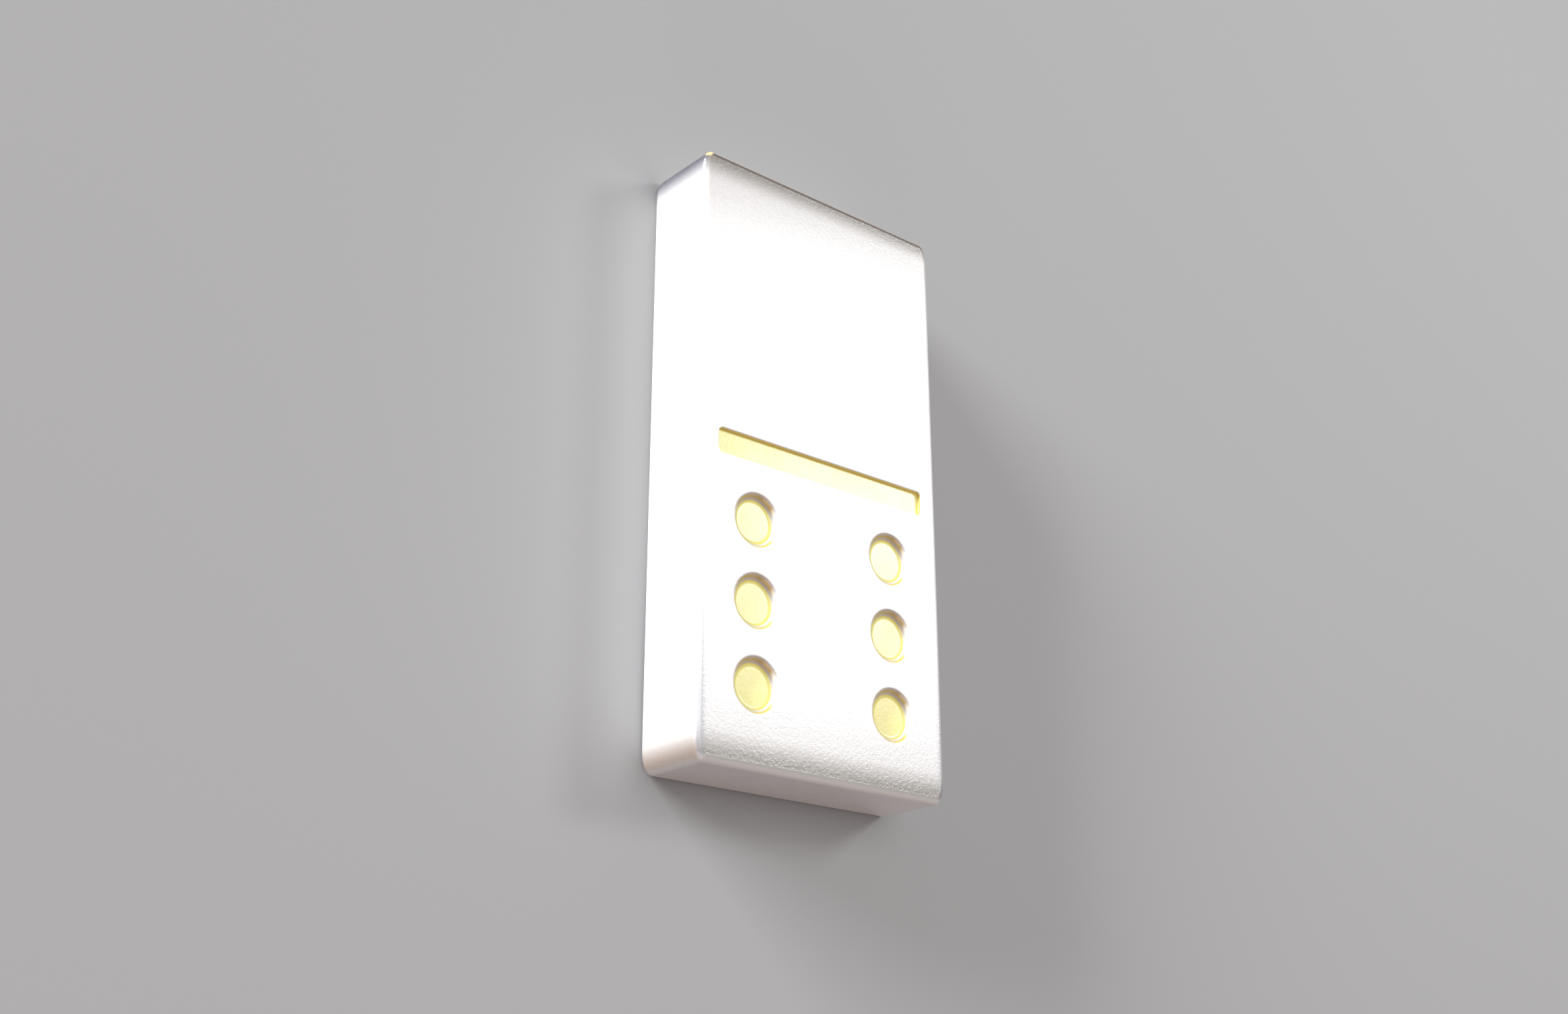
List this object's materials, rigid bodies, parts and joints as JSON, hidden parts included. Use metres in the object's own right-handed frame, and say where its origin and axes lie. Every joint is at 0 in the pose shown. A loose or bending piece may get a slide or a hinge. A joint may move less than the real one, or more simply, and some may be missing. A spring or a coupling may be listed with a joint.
{
  "type": "domino tile",
  "caption": "Rectangular white domino tile with rounded edges, a yellow divider bar across its face and round recessed yellow pips on one half, the other half blank.",
  "frame": {"origin": "centre of the flat back, on the surface that the tile lies on", "axes": "+Z out of the pip face; Y along the length, with the blank half towards +Y and the six-pip half towards -Y; X across the width"},
  "size_m": [0.024, 0.048, 0.0065],
  "materials": {
    "body_white": "satin moulded plastic with a fine orange-peel grain",
    "inlay_yellow": "satin pale yellow moulded plastic with the same fine grain"
  },
  "bodies": {
    "root": {"tile_body": "body_white", "divider_inlay": "inlay_yellow", "pip_ring_left_inner": "inlay_yellow", "pip_ring_left_middle": "inlay_yellow", "pip_ring_left_outer": "inlay_yellow", "pip_ring_right_inner": "inlay_yellow", "pip_ring_right_middle": "inlay_yellow", "pip_ring_right_outer": "inlay_yellow", "pip_disc_left_inner": "inlay_yellow", "pip_disc_left_middle": "inlay_yellow", "pip_disc_left_outer": "inlay_yellow", "pip_disc_right_inner": "inlay_yellow", "pip_disc_right_middle": "inlay_yellow", "pip_disc_right_outer": "inlay_yellow"}
  },
  "joints": []
}
